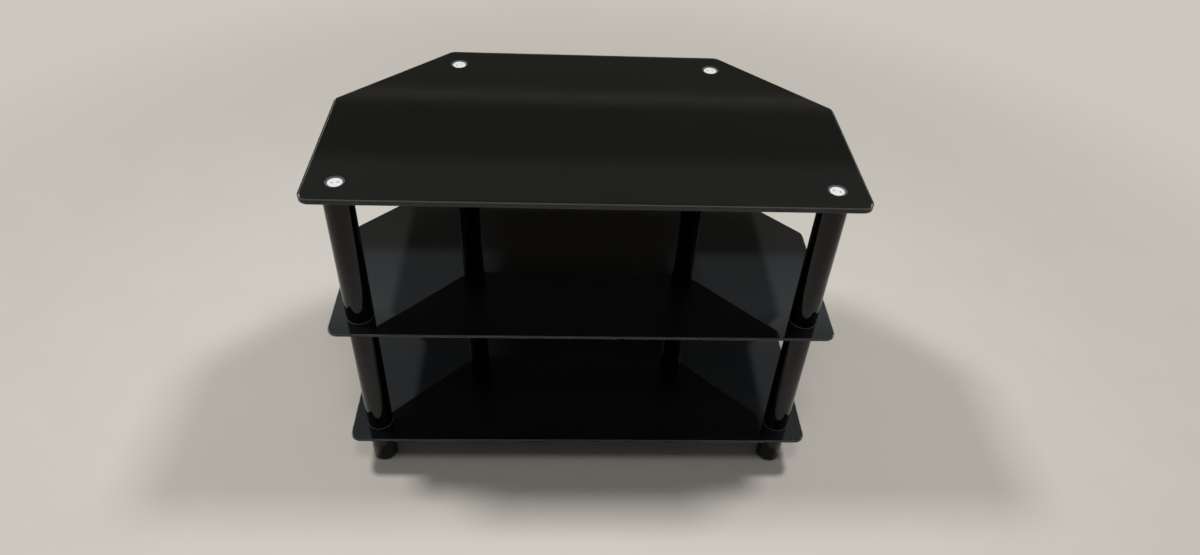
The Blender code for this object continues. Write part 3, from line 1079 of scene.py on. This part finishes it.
@dataclass
class Studio:
    """A plain pale floor, a pale room to reflect, soft lamps and the camera."""

    floor_colour: str = "#d2cdc4"
    floor_flow: str = "#ccc7be"
    lit_floor: str = "#cdc8bf"              # how the near floor looks once it is lit
    floor_reach: float = 40.0
    floor_segments: int = 96
    floor_mottle_mm: float = 120
    diffuse_room: str = "#5c5d5d"           # the room as matt surfaces see it
    wall_middle: float = 0.05               # where the room's dark middle is, as x over z
    inner_edge: tuple[float, float] = (0.14, 0.21)      # from the middle wall to the walls beside it
    outer_edge: tuple[float, float] = (0.318, 0.332)    # from those to the bright flanks
    fade: tuple[float, float] = (0.8, 1.9)  # where the floor's own shading gives way to an even tone
    lens: float = 26.057
    sensor: float = 36.0
    camera_at: tuple[float, float, float] = (-0.0376, -1.0338, 1.1452)
    yaw: float = -0.0643
    pitch: float = 0.717
    roll: float = 0.055

    SEAT = (
        (0.00, linear("#8f8a80")), (0.25, linear("#5f5e54")), (0.275, linear("#5d5c52")),
        (0.282, linear("#827f73")), (0.290, linear("#525149")), (0.325, linear("#54534b")),
        (0.337, linear("#73726a")), (0.364, linear("#777870")))

    LAMPS = (
        ("left_softbox", (-1.07, 0.12, 2.5), (-0.2, 0.0, 0.2), 0.35, 34.5),
        ("right_softbox", (0.89, 0.12, 2.5), (0.2, 0.0, 0.2), 0.35, 30.5),
        ("front_softbox", (0.0, -1.2, 2.8), (0.0, -0.2, 0.0), 0.5, 13.0))

    def dress_floor(self) -> Finished:
        """Wire a matt floor that takes shadows near the stand and is one even pale tone far off.

        Returns:
            The finish of the floor.
        """
        material = bpy.data.materials.new("pale_matt_floor")
        material.use_nodes = True
        tree = material.node_tree
        shader = tree.nodes["Principled BSDF"]
        place = add_node(tree, "TexCoord").outputs["Object"]
        mottle = add_node(tree, "TexNoise", None, {
            "Vector": place, "Scale": per_metre(self.floor_mottle_mm), "Detail": 4.0})
        colour = add_node(tree, "Mix", {"data_type": "RGBA"}, {
            0: mottle.outputs[0], 6: linear(self.floor_colour), 7: linear(self.floor_flow)})
        join(tree, shader, {"Base Color": colour.outputs[2], "Roughness": 0.8})
        away = add_node(tree, "VectorMath", {"operation": "LENGTH"}, {0: place})
        far = add_node(tree, "MapRange", {"interpolation_type": "SMOOTHSTEP"}, {
            "Value": away.outputs["Value"], "From Min": self.fade[0], "From Max": self.fade[1]})
        seen = add_node(tree, "LightPath")
        mirrored = add_node(tree, "Math", {"operation": "MAXIMUM"}, {
            0: seen.outputs["Is Glossy Ray"], 1: seen.outputs["Is Transmission Ray"]})
        direct = add_node(tree, "Math", {"operation": "MAXIMUM"}, {
            0: mirrored.outputs[0], 1: seen.outputs["Is Camera Ray"]})
        share = add_node(tree, "Math", {"operation": "MULTIPLY"}, {
            0: far.outputs[0], 1: direct.outputs[0]})
        even = add_node(tree, "Emission", None, {"Color": linear(self.lit_floor)})
        both = add_node(tree, "MixShader", None, {
            0: share.outputs[0], 1: shader.outputs[0], 2: even.outputs[0]})
        join(tree, tree.nodes["Material Output"], {"Surface": both.outputs[0]})
        return material

    def build_floor(self) -> None:
        """Lay a round floor; its points are a radius times the cosine and sine of the angle."""
        cosine, sine = circle(self.floor_segments)
        points = self.floor_reach * np.stack([cosine, sine, 0 * cosine], -1)
        mesh = bpy.data.meshes.new("stage_floor")
        mesh.from_pydata(points, [], [list(range(len(points)))])
        mesh.materials.append(self.dress_floor())
        piece = bpy.data.objects.new("stage_floor", mesh)
        bpy.context.scene.collection.objects.link(piece)

    def build_room(self) -> None:
        """Paint the world as a square room: rays that are seen or mirrored meet its walls and ceiling.

        A wall's height is the direction's rise over the larger of its two level parts.
        """
        world = bpy.data.worlds.new("studio_room")
        bpy.context.scene.world = world
        world.use_nodes = True
        tree = world.node_tree
        split = add_node(tree, "SeparateXYZ", None, {
            0: add_node(tree, "TexCoord").outputs["Generated"]})
        across = add_node(tree, "Math", {"operation": "ABSOLUTE"}, {0: split.outputs[0]})
        along = add_node(tree, "Math", {"operation": "ABSOLUTE"}, {0: split.outputs[1]})
        level = add_node(tree, "Math", {"operation": "MAXIMUM"}, {
            0: across.outputs[0], 1: along.outputs[0]})
        rise = add_node(tree, "Math", {"operation": "DIVIDE"}, {
            0: split.outputs[2], 1: level.outputs[0]})
        height = add_node(tree, "MapRange", None, {
            "Value": rise.outputs[0], "From Min": 0.0, "From Max": 2.0})
        aside = add_node(tree, "Math", {"operation": "DIVIDE"}, {
            0: split.outputs[0], 1: split.outputs[2]})
        shifted = add_node(tree, "Math", {"operation": "SUBTRACT"}, {
            0: aside.outputs[0], 1: self.wall_middle})
        spread = add_node(tree, "Math", {"operation": "ABSOLUTE"}, {0: shifted.outputs[0]})
        taper = add_node(tree, "MapRange", None, {
            "Value": rise.outputs[0], "From Min": 0.95, "From Max": 1.02, "To Min": 1.0, "To Max": 1.25})
        width = add_node(tree, "Math", {"operation": "MULTIPLY"}, {
            0: spread.outputs[0], 1: taper.outputs[0]})
        inner = add_node(tree, "MapRange", None, {
            "Value": width.outputs[0], "From Min": self.inner_edge[0], "From Max": self.inner_edge[1]})
        outer = add_node(tree, "MapRange", None, {
            "Value": width.outputs[0], "From Min": self.outer_edge[0], "From Max": self.outer_edge[1]})
        middle = add_node(tree, "ValToRGB", {"stops": [
            *self.SEAT, (0.375, linear("#3f3c37")), (0.41, linear("#45423d")), (0.45, linear("#262625")),
            (1.00, linear("#4a4c4e"))]}, {0: height.outputs[0]})
        beside = add_node(tree, "ValToRGB", {"stops": [
            *self.SEAT, (0.375, linear("#514e48")), (0.408, linear("#55534e")), (0.416, linear("#83888a")),
            (0.47, linear("#8a9093")), (0.50, linear("#4c4f52")), (1.00, linear("#75787a"))]}, {
            0: height.outputs[0]})
        flank = add_node(tree, "ValToRGB", {"stops": [
            *self.SEAT, (0.375, linear("#807e79")), (0.408, linear("#8a8985")), (0.416, linear("#acb5b8")),
            (0.47, linear("#cbd3d6")), (0.51, linear("#9a9fa2")), (1.00, linear("#b0b5b8"))]}, {
            0: height.outputs[0]})
        inside = add_node(tree, "Mix", {"data_type": "RGBA"}, {
            0: inner.outputs[0], 6: middle.outputs[0], 7: beside.outputs[0]})
        wall = add_node(tree, "Mix", {"data_type": "RGBA"}, {
            0: outer.outputs[0], 6: inside.outputs[2], 7: flank.outputs[0]})
        seen = add_node(tree, "LightPath")
        mirrored = add_node(tree, "Math", {"operation": "MAXIMUM"}, {
            0: seen.outputs["Is Glossy Ray"], 1: seen.outputs["Is Transmission Ray"]})
        lit = add_node(tree, "Mix", {"data_type": "RGBA"}, {
            0: mirrored.outputs[0], 6: linear(self.diffuse_room), 7: wall.outputs[2]})
        backdrop = add_node(tree, "Mix", {"data_type": "RGBA"}, {
            0: seen.outputs["Is Camera Ray"], 6: lit.outputs[2], 7: linear(self.lit_floor)})
        join(tree, tree.nodes["Background"], {"Color": backdrop.outputs[2]})

    def add_lamp(
        self, name: str, at: tuple[float, float, float], aim: tuple[float, float, float], size: float,
        power: float,
    ) -> None:
        """Hang one square softbox that points at a spot.

        Args:
            name: Name of the lamp.
            at: Where it hangs.
            aim: Spot that it points at.
            size: Length of its side.
            power: Watts.
        """
        data = bpy.data.lights.new(name, "AREA")
        data.size, data.energy = size, power
        lamp = bpy.data.objects.new(name, data)
        lamp.location = at
        lamp.rotation_mode = "QUATERNION"
        lamp.rotation_quaternion = (Vector(aim) - Vector(at)).to_track_quat("-Z", "Y")
        lamp.visible_glossy = False         # black glass would show it as a hard white square
        lamp.visible_transmission = False   # and the clear rims as specks
        bpy.context.scene.collection.objects.link(lamp)

    def build_camera(self) -> None:
        """Set up the camera from its place, angles and lens."""
        data = bpy.data.cameras.new("view")
        data.lens, data.sensor_width = self.lens, self.sensor
        camera = bpy.data.objects.new("view", data)
        turn = Matrix.Rotation(self.yaw, 4, "Z") @ Matrix.Rotation(math.pi / 2 - self.pitch, 4, "X")
        camera.matrix_world = Matrix.Translation(self.camera_at) @ turn @ Matrix.Rotation(self.roll, 4, "Z")
        bpy.context.scene.collection.objects.link(camera)
        bpy.context.scene.camera = camera

    def build(self) -> None:
        """Build the floor, the room, the lamps and the camera."""
        self.build_floor()
        self.build_room()
        for lamp in self.LAMPS:
            self.add_lamp(*lamp)
        self.build_camera()
        bpy.context.scene.view_settings.view_transform = "Standard"


def main() -> None:
    """Build the stand and its stage."""
    logging.basicConfig(level=logging.INFO, format="%(name)s: %(message)s")
    Studio().build()
    Stand().build()


if __name__ == "__main__":
    main()
